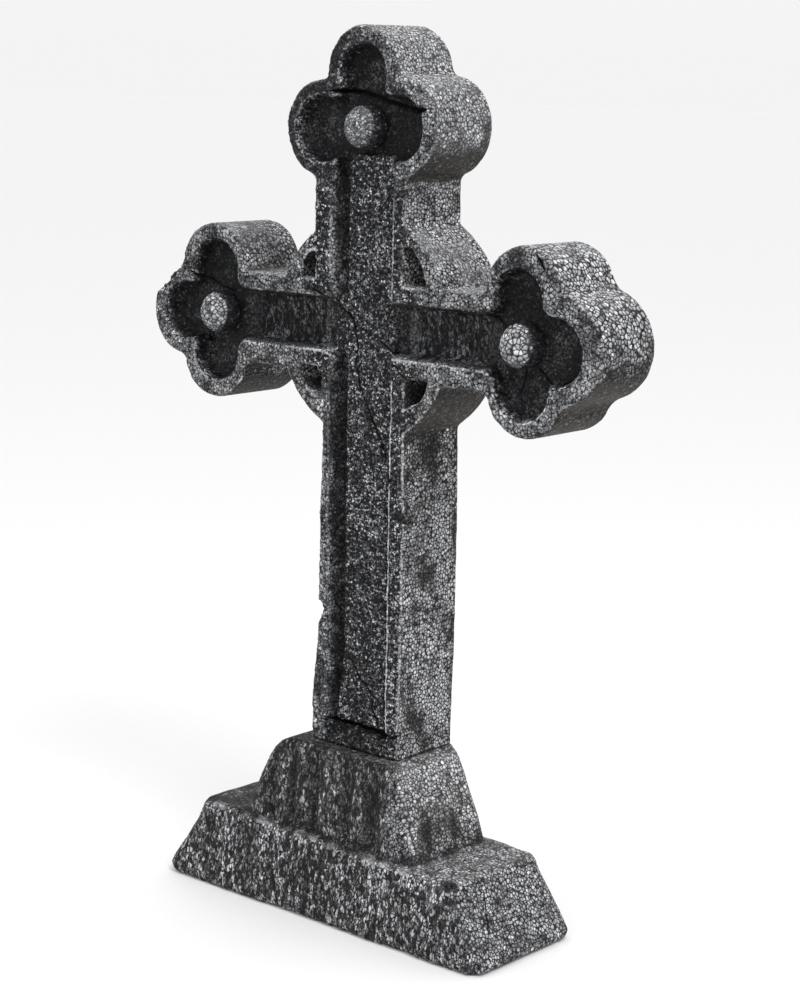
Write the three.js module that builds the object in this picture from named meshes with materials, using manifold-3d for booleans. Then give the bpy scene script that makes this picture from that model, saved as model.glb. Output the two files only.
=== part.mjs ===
// A ringed cross grave marker on a two-step base, made of painted bead foam.
// Millimetres, +Z up. X runs along the arms, the carved face looks along -Y.
// Two pieces: the cross, made as one with its ring, arms and bosses, and the stepped base it stands on.
import * as THREE from "three";
import { mergeVertices } from "three/addons/utils/BufferGeometryUtils.js";
import Module from "manifold-3d";

const wasm = await Module();
wasm.setup();

// ---------- driving dimensions ----------
const DEPTH = 89; // thickness of the cross, front to back
const EDGE = 3; // rounding of its outer edges
const FRONT = -DEPTH / 2;
const BACK = DEPTH / 2;

const FOOT_Z = 178; // where the cross stands on the base
const GAP = 0.3; // clearance between the two pieces
const LEAN = THREE.MathUtils.degToRad(-0.65); // the cross leans a little to the left on its base

const CROSS_Z = 610; // height of the crossing
const ARM_TOP = 655.5;
const ARM_BOTTOM = 561.5;
const ARM_X = 199.5; // centre of each side trefoil
const HEAD_Z = 806; // centre of the head trefoil

// Edges of the shaft as [height, x]: it narrows below the ring on the left and swells again at the foot.
const SHAFT_LEFT = [[165, -58], [212, -60], [251, -57], [290, -52.5], [340, -51], [415, -51], [505, -49], [560, -52], [680, -61], [790, -61.5]];
const SHAFT_RIGHT = [[165, 59.5], [228, 61], [272, 62], [373, 63], [505, 62], [600, 61], [700, 59], [790, 57.5]];

// Lobes of the three trefoils as [x, z, radius].
const LOBES = [
  [-53, 804, 48], [46.5, 808, 49.5], [-0.5, 859, 46], // head
  [-205, 656.5, 45.8], [-248.5, 608, 46.5], [-202, 567, 46.5], // left arm
  [203.5, 658, 46.3], [242, 610, 54], [206, 568, 45], // right arm
];
// The hollows inside them as [x, z, radius at the front face].
const HOLLOWS = [
  [-54, 803, 33.5], [44, 806, 33], [0, 857, 31],
  [-202, 654, 32.5], [-246, 609, 31], [-201, 570, 32],
  [197, 654, 29], [240, 607.5, 33.5], [203, 571, 32],
];
const HOLLOW_HUB = 46; // hollow round each boss, where the lobes meet
const RECESS = 21.5; // depth of the hollows and of the arm panels
const DRAFT = 5; // how far their walls lean in
const ARM_PANEL = [584, 638]; // lowest and highest edge of the panel in the arms
const SHAFT_PANEL = [-38, 42.5]; // its left and right edge in the shaft
const SILL = [180, 209]; // foot of the shaft panel: at the face and at full depth
const BAND = [-24, 34]; // the raised band down the middle of the shaft
const CROSSING = [-39, 37]; // its left and right edge where the arms meet it
const BAND_DEPTH = 12; // its face, behind the front
const BAND_TOP = 780;

const BOSS_R = 22.5;
const BOSS_Y = FRONT + 10.5; // centre of each boss
const BOSSES = [[-ARM_X, 610], [ARM_X, 610], [0, HEAD_Z]];

// The four parts of the ring as [first angle, last angle, outer radius, inner radius].
const RING = [[12, 80, 118, 97], [100, 168, 111, 92], [192, 258, 111, 90], [282, 348, 117, 96]];
// The small holes between ring, arms and shaft as [corner x, corner z, width, height], rounded away from the corner.
const HOLES = [[57, 656, 25, 36], [-60, 658, -18, 23], [-57, 566, -20, -26], [62, 564, 25, -24]];

// Lower step: [height, half length, half depth]; upper step: [height, left, right, front, back, corner rounding].
const BASE_X = -11.4; // the cross stands a little right of and behind the middle of the base
const BASE_Y = -9;
const STEP_1 = [[0, 213, 75], [3, 218, 78.5], [9, 219, 79], [26, 209, 77.5], [48, 195, 75], [66, 184, 72.5], [76, 179, 70.5], [83, 174, 66], [86, 164, 59]];
const STEP_2 = [
  [70, 124, 124, 62.5, 62.5, 18], [86, 121, 121, 61, 61, 18], [110, 114, 114, 59.5, 59.5, 18], [136, 103, 103, 57.5, 57.5, 18],
  [152, 94.5, 95.5, 56, 57, 16], [163, 87, 89, 54, 56.4, 13], [171, 78, 82.5, 52, 56, 10], [176, 68, 76, 50, 55.6, 8], [FOOT_Z - GAP, 61, 73, 47, 55.2, 6],
];
const TOP_FALL = 0.024; // the top of the lower step falls this much for each mm to the right
const CORNER = 14; // rounding of the upright corners of the lower step
// Hollow flutes in the front of the upper step as [x, width, depth].
const FLUTES = [[-53, 6, 3.5], [-22, 7, 4], [22, 7, 3], [57, 9, 4.5]];
// Broad scoops in its two ends as [y, width, depth].
const SCOOPS = [[-22, 12, 4.5], [14, 11, 4]];

const ROUND = 28; // sides of a round

// ---------- solids ----------
const asSolid = (geometry) => {
  const g = geometry.index ? geometry.toNonIndexed() : geometry.clone();
  g.deleteAttribute("normal");
  g.deleteAttribute("uv");
  const m = mergeVertices(g, 1e-4);
  return new wasm.Manifold(
    new wasm.Mesh({
      numProp: 3,
      vertProperties: new Float32Array(m.attributes.position.array),
      triVerts: new Uint32Array(m.index.array),
    }),
  );
};
const addAll = (list) => list.reduce((a, b) => a.add(b));
const asGeometry = (s) => {
  const m = s.getMesh();
  const g = new THREE.BufferGeometry();
  g.setAttribute("position", new THREE.BufferAttribute(new Float32Array(m.vertProperties), 3));
  g.setIndex(new THREE.BufferAttribute(new Uint32Array(m.triVerts), 1));
  g.computeVertexNormals();
  return g;
};

// A closed skin over equal loops of points, capped at both ends; flat() gives a loop's plane coordinates.
function skin(loops, flat) {
  const n = loops[0].length;
  const pos = [];
  const put = (...ps) => ps.forEach((p) => pos.push(p.x, p.y, p.z));
  for (let k = 0; k + 1 < loops.length; k++)
    for (let i = 0; i < n; i++) {
      const j = (i + 1) % n;
      const [a, b, c, d] = [loops[k][i], loops[k][j], loops[k + 1][j], loops[k + 1][i]];
      put(a, b, c, a, c, d);
    }
  for (const [loop, last] of [[loops[0], false], [loops[loops.length - 1], true]])
    for (const [a, b, c] of THREE.ShapeUtils.triangulateShape(loop.map(flat), []))
      last ? put(loop[a], loop[b], loop[c]) : put(loop[c], loop[b], loop[a]);
  // Turn the faces outwards, whichever way the loops stack.
  let volume = 0;
  for (let i = 0; i < pos.length; i += 9) {
    const [a, b, c] = [0, 3, 6].map((k) => new THREE.Vector3(pos[i + k], pos[i + k + 1], pos[i + k + 2]));
    volume += a.dot(b.cross(c));
  }
  if (volume < 0)
    for (let i = 0; i < pos.length; i += 9)
      for (let k = 0; k < 3; k++) [pos[i + k], pos[i + 3 + k]] = [pos[i + 3 + k], pos[i + k]];
  const g = new THREE.BufferGeometry();
  g.setAttribute("position", new THREE.BufferAttribute(new Float32Array(pos), 3));
  return asSolid(g);
}
const faceOn = (p) => new THREE.Vector2(p.x, p.z);
const fromAbove = (p) => new THREE.Vector2(p.x, p.y);
const circle = (x, z, r) => (y, inset) =>
  Array.from({ length: ROUND }, (_, i) => {
    const a = (2 * Math.PI * i) / ROUND;
    return new THREE.Vector3(x + (r - inset) * Math.cos(a), y, z + (r - inset) * Math.sin(a));
  });
const rectangle = (x0, x1, z0, z1) => (y, inset) =>
  [[x0 + inset, z0 + inset], [x1 - inset, z0 + inset], [x1 - inset, z1 - inset], [x0 + inset, z1 - inset]].map(
    ([x, z]) => new THREE.Vector3(x, y, z),
  );
// A hollow: open at the front, with walls that lean in towards its floor.
const hollow = (outline, depth = RECESS, draft = DRAFT) =>
  skin([outline(FRONT - 4, -0.4), outline(FRONT, 0), outline(FRONT + depth, draft)], faceOn);

// An outline drawn face-on, made to full thickness with rounded edges.
function slab(shape, edge = EDGE) {
  const g = new THREE.ExtrudeGeometry(shape, {
    depth: DEPTH - 2 * edge, curveSegments: ROUND / 2, bevelEnabled: true,
    bevelThickness: edge, bevelSize: edge, bevelOffset: -edge, bevelSegments: 1,
  });
  g.rotateX(Math.PI / 2); // the outline's y becomes z, and its depth runs towards the front
  g.translate(0, BACK - edge, 0);
  return asSolid(g);
}
// A value between the stations of a table, eased.
function along(table, z) {
  for (let i = 0; i + 1 < table.length; i++) {
    const [z0, x0] = table[i], [z1, x1] = table[i + 1];
    if (z <= z1) return THREE.MathUtils.lerp(x0, x1, THREE.MathUtils.smoothstep(z, z0, z1) * 0.5 + ((z - z0) / (z1 - z0)) * 0.5);
  }
  return table[table.length - 1][1];
}
// A chip: a lump with few facets that takes a bite out of an edge.
function bite(x, y, z, rx, ry, rz, turn = 0) {
  const g = new THREE.IcosahedronGeometry(1, 1);
  g.scale(rx, ry, rz);
  g.rotateY(turn);
  g.translate(x, y, z);
  return asSolid(g);
}

// ---------- the cross ----------
function shaftShape() {
  const s = new THREE.Shape();
  const steps = 18, z0 = 165, z1 = 790;
  for (let i = 0; i <= steps; i++) {
    const z = z0 + ((z1 - z0) * i) / steps;
    i ? s.lineTo(along(SHAFT_RIGHT, z), z) : s.moveTo(along(SHAFT_RIGHT, z), z);
  }
  for (let i = steps; i >= 0; i--) {
    const z = z0 + ((z1 - z0) * i) / steps;
    s.lineTo(along(SHAFT_LEFT, z), z);
  }
  s.closePath();
  return s;
}
function armShape() {
  const s = new THREE.Shape();
  s.moveTo(-ARM_X, ARM_BOTTOM);
  s.lineTo(ARM_X, ARM_BOTTOM);
  s.lineTo(ARM_X, ARM_TOP);
  s.lineTo(-ARM_X, ARM_TOP);
  s.closePath();
  return s;
}
const lobeShape = ([x, z, r]) => new THREE.Shape().absarc(x, z, r, 0, 2 * Math.PI, false);
function ringShape([a0, a1, outer, inner]) {
  const s = new THREE.Shape();
  const [t0, t1] = [a0, a1].map(THREE.MathUtils.degToRad);
  s.absarc(0, CROSS_Z, outer, t0, t1, false);
  s.absarc(0, CROSS_Z, inner, t1, t0, true);
  s.closePath();
  return s;
}
function hubShape(x, z) {
  const s = new THREE.Shape();
  s.absarc(x, z, 58, 0, 2 * Math.PI, false);
  return s;
}

const hole = ([x, z, w, h]) => {
  const n = 7;
  const loop = (y) => [
    new THREE.Vector3(x, y, z),
    ...Array.from({ length: n }, (_, i) => {
      const a = (i / (n - 1)) * (Math.PI / 2);
      return new THREE.Vector3(x + w * Math.cos(a), y, z + h * Math.sin(a));
    }),
  ];
  const loops = [loop(FRONT - 2), loop(BACK + 2)];
  return skin(w * h < 0 ? loops.map((l) => l.reverse()) : loops, faceOn);
};

let cross = addAll([
  slab(shaftShape()),
  slab(armShape()),
  ...LOBES.map((l) => slab(lobeShape(l))),
  ...BOSSES.map(([x, z]) => slab(hubShape(x, z))),
  ...RING.map((r) => slab(ringShape(r), 2)),
]).subtract(addAll(HOLES.map(hole)));

// Hollows in the face: trefoils, arms and shaft, with the band left standing in the shaft.
cross = cross.subtract(
  addAll([
    ...HOLLOWS.map(([x, z, r]) => hollow(circle(x, z, r))),
    ...BOSSES.map(([x, z]) => hollow(circle(x, z, HOLLOW_HUB))),
    hollow(rectangle(-ARM_X, ARM_X, ...ARM_PANEL)),
    skin(
      [
        [FRONT - 4, SILL[0] - 4, -0.4], [FRONT, SILL[0], 0], [FRONT + RECESS, SILL[1], DRAFT - 1],
      ].map(([y, z, inset]) =>
        [[SHAFT_PANEL[0] + inset, z], [SHAFT_PANEL[1] - inset, z], [SHAFT_PANEL[1] - inset, HEAD_Z], [SHAFT_PANEL[0] + inset, HEAD_Z]].map(
          ([x, h]) => new THREE.Vector3(x, y, h),
        ),
      ),
      faceOn,
    ),
  ]),
);
const raised = (x0, x1, z0, z1, corner = 0) => {
  const s = new THREE.Shape();
  s.moveTo(x0, z0);
  s.lineTo(x1, z0);
  s.lineTo(x1, z1);
  s.lineTo(x0 + corner, z1);
  if (corner) s.quadraticCurveTo(x0, z1, x0, z1 - corner);
  s.closePath();
  const g = new THREE.ExtrudeGeometry(s, { depth: RECESS - BAND_DEPTH + 4, bevelEnabled: false, curveSegments: 6 });
  g.rotateX(Math.PI / 2);
  g.translate(0, FRONT + RECESS + 4, 0);
  return asSolid(g);
};
cross = addAll([
  cross,
  raised(BAND[0], BAND[1], SILL[0] + 14, BAND_TOP, 9),
  raised(...CROSSING, ARM_PANEL[0] + 1, ARM_PANEL[1] - 1),
  ...BOSSES.map(([x, z]) => {
    const g = new THREE.SphereGeometry(BOSS_R, 20, 12);
    g.rotateX(Math.PI / 2);
    g.translate(x, BOSS_Y, z);
    return asSolid(g);
  }),
]);

// Damage: the rim broken off the left trefoil, the chip and crack beside the head's right lobe,
// the bite out of the shaft's left edge, and small chips along the right edge.
cross = cross.subtract(
  addAll([
    bite(-281, FRONT, 642, 24, 14, 17, -0.8),
    bite(-264, FRONT, 654, 14, 12, 10, 0.6),
    bite(75, FRONT - 1, 840, 20, 10, 5.5, 0.45),
    bite(88, FRONT - 1, 826, 5, 8, 5),
    bite(-57, FRONT + 4, 316, 18, 22, 13),
    bite(62, FRONT + 1, 425, 7, 9, 22),
    bite(50, FRONT - 1, 447, 4, 5, 9, 0.4),
    bite(-60, FRONT - 2, 762, 7, 5, 6),
    bite(38, FRONT - 1, 201, 12, 5, 2),
  ]),
);

// Stand it on the base: lean it, then cut its foot level.
const lean = new THREE.Matrix4()
  .makeTranslation(0, 0, FOOT_Z)
  .multiply(new THREE.Matrix4().makeRotationY(LEAN))
  .multiply(new THREE.Matrix4().makeTranslation(0, 0, -FOOT_Z));
{
  const g = asGeometry(cross);
  g.applyMatrix4(lean);
  g.deleteAttribute("normal");
  const below = new THREE.BoxGeometry(300, 200, 100);
  below.translate(0, 0, FOOT_Z - 50);
  cross = asSolid(g).subtract(asSolid(below));
}

// ---------- the stepped base ----------
// A rounded rectangle seen from above, with `sides` parts along each straight side and five to a corner.
function stepLoop(z, left, right, front, back, corner, shapeY, shapeX) {
  const pts = [];
  const r = Math.min(corner, front * 0.5);
  const long = 22, short = 8, turn = 5;
  const side = (x0, y0, x1, y1, n) => {
    for (let i = 0; i < n; i++) pts.push([x0 + ((x1 - x0) * i) / n, y0 + ((y1 - y0) * i) / n]);
  };
  const arc = (cx, cy, a0) => {
    for (let i = 0; i < turn; i++) {
      const a = a0 + (i / turn) * (Math.PI / 2);
      pts.push([cx + r * Math.cos(a), cy + r * Math.sin(a)]);
    }
  };
  side(-left + r, -front, right - r, -front, long);
  arc(right - r, -front + r, -Math.PI / 2);
  side(right, -front + r, right, back - r, short);
  arc(right - r, back - r, 0);
  side(right - r, back, -left + r, back, 10);
  arc(-left + r, back - r, Math.PI / 2);
  side(-left, back - r, -left, -front + r, short);
  arc(-left + r, -front + r, Math.PI);
  return pts.map(([x, y]) => {
    const dy = y < 0 ? shapeY(x, z) * THREE.MathUtils.smoothstep(-y, front * 0.6, front) : 0;
    const end = x < 0 ? left : right;
    const dx = -Math.sign(x) * shapeX(y, z) * THREE.MathUtils.smoothstep(Math.abs(x), end * 0.8, end);
    return new THREE.Vector3(x + dx, y + dy, z);
  });
}
const hump = (t, c, w) => Math.exp(-(((t - c) / w) ** 2));
const plain = () => 0;
const flutes = (x, z) =>
  THREE.MathUtils.smoothstep(z, 80, 96) * (1 - THREE.MathUtils.smoothstep(z, 150, 172)) *
  FLUTES.reduce((s, [c, w, d]) => s + d * hump(x, c, w), 0);
const scoops = (y, z) =>
  (1 - THREE.MathUtils.smoothstep(z, 140, 168)) * SCOOPS.reduce((s, [c, w, d]) => s + d * hump(y, c, w), 0);

const lower = skin(
  STEP_1.map(([z, hx, hy]) =>
    stepLoop(z, hx, hx, hy, hy, CORNER, plain, plain).map((p) => p.setZ(z - TOP_FALL * p.x * THREE.MathUtils.smoothstep(z, 10, 76))),
  ),
  fromAbove,
);
const upper = skin(STEP_2.map((level) => stepLoop(...level, flutes, scoops)), fromAbove);
let base = lower.add(upper);
// Damage: the worn upper corner of the lower step, front right, and small bites along its edges.
base = base.subtract(
  addAll([
    bite(176, -78, 86, 34, 17, 13, 0.25),
    bite(150, -80, 78, 16, 10, 16, 0.1),
    bite(172, -74, 66, 8, 9, 7),
    bite(-6, -72, 86, 26, 8, 6),
    bite(-152, -74, 84, 20, 9, 8, -0.3),
    bite(216, -76, 8, 10, 9, 9),
  ]),
);

// ---------- the finished group ----------
const crossFoam = new THREE.MeshStandardMaterial({ name: "painted_bead_foam", color: 0x4a4c4f, roughness: 0.86, metalness: 0 });
const baseFoam = new THREE.MeshStandardMaterial({ name: "painted_bead_foam_base", color: 0x525354, roughness: 0.88, metalness: 0 });

const crossMesh = new THREE.Mesh(asGeometry(cross), crossFoam);
crossMesh.name = "cross";
const baseMesh = new THREE.Mesh(asGeometry(base), baseFoam);
baseMesh.name = "stepped_base";
baseMesh.position.set(BASE_X, BASE_Y, 0);

const marker = new THREE.Group();
marker.name = "cross_grave_marker";
marker.add(crossMesh, baseMesh);

// The frame's origin is under the middle of the marker's box.
const box = new THREE.Box3().setFromObject(marker, true);
marker.position.set(-(box.min.x + box.max.x) / 2, -(box.min.y + box.max.y) / 2, -box.min.z);

export default marker;
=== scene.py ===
import math

import bpy
import numpy as np
import openvdb
from mathutils import Matrix


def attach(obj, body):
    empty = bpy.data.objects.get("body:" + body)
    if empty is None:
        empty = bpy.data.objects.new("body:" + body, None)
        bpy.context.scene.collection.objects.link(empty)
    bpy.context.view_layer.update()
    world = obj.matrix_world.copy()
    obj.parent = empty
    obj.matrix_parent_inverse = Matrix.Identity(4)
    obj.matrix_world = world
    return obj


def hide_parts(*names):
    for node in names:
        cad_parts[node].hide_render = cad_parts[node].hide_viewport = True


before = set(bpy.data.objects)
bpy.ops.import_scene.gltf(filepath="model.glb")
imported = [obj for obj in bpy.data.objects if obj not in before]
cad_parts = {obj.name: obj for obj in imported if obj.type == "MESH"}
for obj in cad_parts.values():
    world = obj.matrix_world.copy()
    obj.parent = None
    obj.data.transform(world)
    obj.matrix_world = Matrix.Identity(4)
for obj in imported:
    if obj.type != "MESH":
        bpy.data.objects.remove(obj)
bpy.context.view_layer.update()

STEP = 1.4  # grid spacing, mm
MOST_TRIS = 194000
MM = 0.001

# ---------------------------------------------------------------- sizes of the cross, mm, in its own upright frame
DEPTH = 89.0
FRONT, BACK = -DEPTH / 2, DEPTH / 2
FOOT_Z = 178.0
LEAN = math.radians(-0.65)
CROSS_SHIFT = (4.389, 9.0, 0.0)
CROSS_Z = 610.0
ARM_TOP, ARM_BOTTOM, ARM_X, HEAD_Z = 655.5, 561.5, 199.5, 806.0
SHAFT_LEFT = [(165, -58), (212, -60), (251, -57), (290, -52.5), (340, -51), (415, -51), (505, -49), (560, -52), (680, -61), (790, -61.5)]
SHAFT_RIGHT = [(165, 59.5), (228, 61), (272, 62), (373, 63), (505, 62), (600, 61), (700, 59), (790, 57.5)]
LOBES = [(-53, 804, 48), (46.5, 808, 49.5), (-0.5, 859, 46), (-205, 656.5, 45.8), (-248.5, 608, 46.5), (-202, 567, 46.5),
         (203.5, 658, 46.3), (242, 610, 54), (206, 568, 45)]
HOLLOWS = [(-54, 803, 33.5), (44, 806, 33), (0, 857, 31), (-202, 654, 32.5), (-246, 609, 31), (-201, 570, 32),
           (197, 654, 29), (240, 607.5, 33.5), (203, 571, 32)]
HUB, HOLLOW_HUB = 58.0, 46.0
RECESS, DRAFT = 21.5, 5.0
ARM_PANEL = (584, 638)
SHAFT_PANEL = (-38, 42.5)
SILL = (180, 209)
BAND, BAND_DEPTH, BAND_TOP, BAND_FOOT = (-24, 34), 12.0, 780, 200
CROSSING = (-39, 37)
BOSS_R, BOSS_Y = 22.3, FRONT + 10.5
BOSSES = [(-ARM_X, 610), (ARM_X, 610), (0, HEAD_Z)]
RING = [(0, 90, 118, 97), (90, 180, 111, 92), (180, 270, 111, 90), (270, 360, 117, 96)]
HOLES = [(57, 656, 25, 36), (-60, 658, -18, 23), (-57, 566, -20, -26), (62, 564, 25, -24)]

# Cracks on the face: points (x, z), width, depth.
CRACKS = [
    ([(-62, 645), (-45, 637), (-33, 628), (-17, 616), (-12, 592), (-14, 577), (-8, 548), (3, 529), (19, 501), (33, 473), (45, 461)], 1.1, 4.5),
    ([(-7, 611), (4, 604), (12, 599)], 0.6, 2.0),
    ([(22, 597), (30, 591), (39, 588)], 0.6, 2.0),
    ([(48, 576), (56, 571), (64, 563)], 0.7, 2.5),
    ([(-21, 273), (-2, 251), (17, 230), (14, 222), (22, 206)], 1.0, 4.0),
    ([(-39, 841), (-13, 839), (14, 832), (33, 828), (54, 824), (80, 824)], 1.7, 6.0),
    ([(160, 635), (169, 625)], 1.1, 3.5),
    ([(197, 587), (189, 565)], 0.9, 3.5),
    ([(212, 588), (224, 576)], 1.1, 3.5),
    ([(221, 692), (228, 684)], 1.2, 4.0),
    ([(-238, 650), (-222, 641), (-210, 636), (-193, 632)], 0.9, 3.0),
    ([(-37, 201), (-24, 199), (-10, 201), (4, 198), (15, 199), (30, 196), (40, 198)], 2.0, 6.0),
    ([(40, 202), (50, 200), (62, 202)], 1.1, 4.0),
]
DABS = [(54, 855, 9, 5), (67, 848, 10, 7), (79, 840, 9, 7), (-62, 268, 4, 9), (-60, 300, 6, 5), (58, 447, 3, 8), (112, 655, 10, 3), (100, 561, 12, 3)]  # x, z, radii
FOOT_CRACKS = 12  # from this one on they are shallow, at the foot of the strips
# Bites out of the cross: x, y, z, radii, turn about Y.
BITES = [
    (-281, FRONT, 642, 24, 14, 17, -0.8), (-264, FRONT, 654, 14, 12, 10, 0.6), (75, FRONT - 1, 840, 20, 10, 5.5, 0.45),
    (88, FRONT - 1, 826, 5, 8, 5, 0), (-62.5, FRONT + 4, 316, 18, 22, 14, 0), (61, FRONT + 1, 425, 5, 6, 11, 0.2),
    (50, FRONT - 1, 447, 4, 5, 9, 0.4), (-60, FRONT - 2, 762, 7, 5, 6, 0), (38, FRONT - 1, 201, 12, 5, 2, 0),
    (-226, FRONT + 20, 581, 5, 7, 6, 0), (52, FRONT + 7, 818, 16, 5, 3.5, 0.1), (-62, FRONT, 205, 6, 5, 9, 0.2),
    (64, FRONT, 690, 9, 6, 5, 0.5), (112, FRONT, 660, 7, 5, 4, 0), (-112, FRONT, 560, 8, 5, 4, 0),
]

# ---------------------------------------------------------------- sizes of the base, mm, in its own frame
BASE_SHIFT = (-7.011, 0.0, 0.0)
LOWER = [(z, x, x, y, y, 15) for z, x, y in ((0, 211, 73), (4, 217, 77.5), (10, 218.3, 78.4), (26, 209, 77), (48, 195, 74.6), (66, 184, 72), (78, 179, 70.5),
                                             (96, 172, 68.5))]
LOWER_TOP, TOP_FALL = 87.5, 0.024
UPPER = [(60, 127, 127, 63, 63, 18), (86, 121, 121, 61, 61, 18), (110, 114, 114, 59.5, 59.5, 18), (136, 103, 103, 57.5, 57.5, 18),
         (152, 94.5, 95.5, 56, 57, 16), (163, 87, 89, 54, 56.4, 13), (171, 78, 82.5, 52, 56, 10), (176, 68, 76, 50, 55.6, 8), (180, 58, 72, 44, 55, 6)]
UPPER_TOP = 177.7
FLUTES = [(-78, 5, 2.6), (-53, 6.5, 6.0), (-22, 7, 6.6), (22, 7, 5.6), (57, 9, 6.8)]
SCOOPS = [(-27, 108, 13, 24, 5.5), (14, 102, 11, 18, 4.5), (30, 140, 9, 14, 2.5)]  # y, z, radii, depth
BASE_BITES = [
    (178, -75, 86, 32, 17, 12, 0.25), (150, -80, 78, 16, 10, 16, 0.1), (172, -74, 66, 8, 9, 7, 0), (-6, -74, 87, 26, 9, 6, 0),
    (-152, -76, 85, 20, 10, 8, -0.3), (216, -76, 8, 10, 9, 9, 0), (-36, -61, 95, 7, 7, 5, 0), (24, -61, 96, 7, 8, 6, 0),
    (186, -58, 84, 12, 8, 5, 0.2),
]


# ---------------------------------------------------------------- noise and fields
def _hash(ix, iy, iz, seed):
    h = (ix.astype(np.uint32) * np.uint32(374761393) + iy.astype(np.uint32) * np.uint32(668265263)
         + iz.astype(np.uint32) * np.uint32(2246822519) + np.uint32(seed * 3266489 + 917))
    h = (h ^ (h >> np.uint32(13))) * np.uint32(1274126177)
    h = (h ^ (h >> np.uint32(16))) * np.uint32(2654435761)
    return ((h >> np.uint32(8)) & np.uint32(0xFFFF)).astype(np.float32) / 65535.0


def noise(x, y, z, seed=0):
    """Smooth noise in -1..1 of points given in cells; any of x, y, z may be a number."""
    x, y, z = np.broadcast_arrays(*(np.asarray(v, np.float32) for v in (x, y, z)))
    fx, fy, fz = np.floor(x), np.floor(y), np.floor(z)
    ux, uy, uz = x - fx, y - fy, z - fz
    ix, iy, iz = (f.astype(np.int32) for f in (fx, fy, fz))
    ux, uy, uz = (u * u * (3 - 2 * u) for u in (ux, uy, uz))
    total = np.zeros(x.shape, np.float32)
    for dx in (0, 1):
        wx = ux if dx else 1 - ux
        for dy in (0, 1):
            wy = uy if dy else 1 - uy
            for dz in (0, 1):
                total += wx * wy * (uz if dz else 1 - uz) * _hash(ix + dx, iy + dy, iz + dz, seed)
    return total * 2 - 1


def smax(a, b, k):
    h = np.maximum(k - np.abs(a - b), 0)
    return np.maximum(a, b) + h * h / (4 * k)


def smin(a, b, k):
    return -smax(-a, -b, k)


def ramp(t, a, b):
    u = np.clip((t - a) / (b - a), 0, 1)
    return u * u * (3 - 2 * u)


def along(table, z):
    zs, xs = [r[0] for r in table], [r[1] for r in table]
    out = np.interp(z, zs, xs)
    i = np.clip(np.searchsorted(zs, z) - 1, 0, len(zs) - 2)
    zs, xs = np.array(zs, np.float32), np.array(xs, np.float32)
    u = np.clip((z - zs[i]) / (zs[i + 1] - zs[i]), 0, 1)
    return 0.5 * out + 0.5 * (xs[i] + (xs[i + 1] - xs[i]) * u * u * (3 - 2 * u))


def disc(x, z, cx, cz, r):
    return np.hypot(x - cx, z - cz) - r


def box2(x, z, x0, x1, z0, z1):
    qx, qz = np.abs(x - (x0 + x1) / 2) - (x1 - x0) / 2, np.abs(z - (z0 + z1) / 2) - (z1 - z0) / 2
    return np.hypot(np.maximum(qx, 0), np.maximum(qz, 0)) + np.minimum(np.maximum(qx, qz), 0)


def signed_line(x, z, pts):
    """Signed distance from a chain of points, wobbled a little."""
    wx = x + 1.6 * noise(x / 7, z / 7, 3.3, 5) + 0.7 * noise(x / 3, z / 3, 1.3, 6)
    wz = z + 1.6 * noise(x / 7, z / 7, 8.3, 7) + 0.7 * noise(x / 3, z / 3, 4.3, 8)
    best = np.full(np.shape(x), 1e9, np.float32)
    sign = np.ones(np.shape(x), np.float32)
    for (x0, z0), (x1, z1) in zip(pts, pts[1:]):
        dx, dz = x1 - x0, z1 - z0
        t = np.clip(((wx - x0) * dx + (wz - z0) * dz) / (dx * dx + dz * dz), 0, 1)
        d = np.hypot(wx - x0 - t * dx, wz - z0 - t * dz)
        s = np.where((wx - x0) * dz - (wz - z0) * dx > 0, 1, -1)
        near = d < best
        best, sign = np.where(near, d, best), np.where(near, s, sign)
    return best * sign


def bite_field(x, y, z, bite, seed):
    """Positive inside the solid left after a bite, as something to subtract: negative inside the bite."""
    cx, cy, cz, rx, ry, rz, turn = bite
    dx, dy, dz = x - cx, y - cy, z - cz
    c, s = math.cos(turn), math.sin(turn)
    u, w = (c * dx - s * dz) / rx, (s * dx + c * dz) / rz
    v = dy / ry
    r = np.sqrt(u * u + v * v + w * w)
    rough = 0.22 * noise(x / 6, y / 6, z / 6, 40 + seed) + 0.12 * noise(x / 3, y / 3, z / 3, 60 + seed)
    return (r - 1 - rough) * min(rx, ry, rz)


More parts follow.
